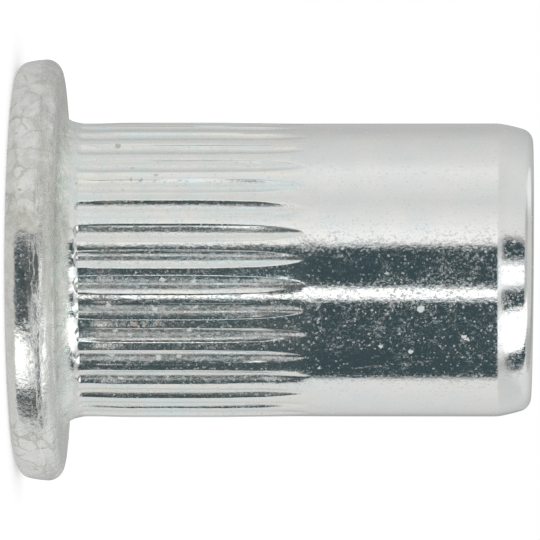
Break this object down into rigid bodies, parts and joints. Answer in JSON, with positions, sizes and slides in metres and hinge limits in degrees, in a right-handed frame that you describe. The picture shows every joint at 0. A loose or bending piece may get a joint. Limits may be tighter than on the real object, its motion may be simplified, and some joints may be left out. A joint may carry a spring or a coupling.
{
  "type": "rivet nut",
  "caption": "Flanged rivet nut: a round tube with a flat flange, a fluted grip band near the flange and an open internally threaded end; it is set in sheet from one side.",
  "frame": {"origin": "centre of the flange's outer face, which is the lowest face of the part", "axes": "+Z along the nut's axis, from the flange's outer face to the threaded end; X and Y are in the plane of the flange's face, with -Y towards the side that the picture shows"},
  "size_m": [0.013, 0.013, 0.0158],
  "materials": {
    "zinc_plated_steel": "bright zinc plating"
  },
  "bodies": {
    "root": {"rivet_nut": "zinc_plated_steel"}
  },
  "joints": []
}
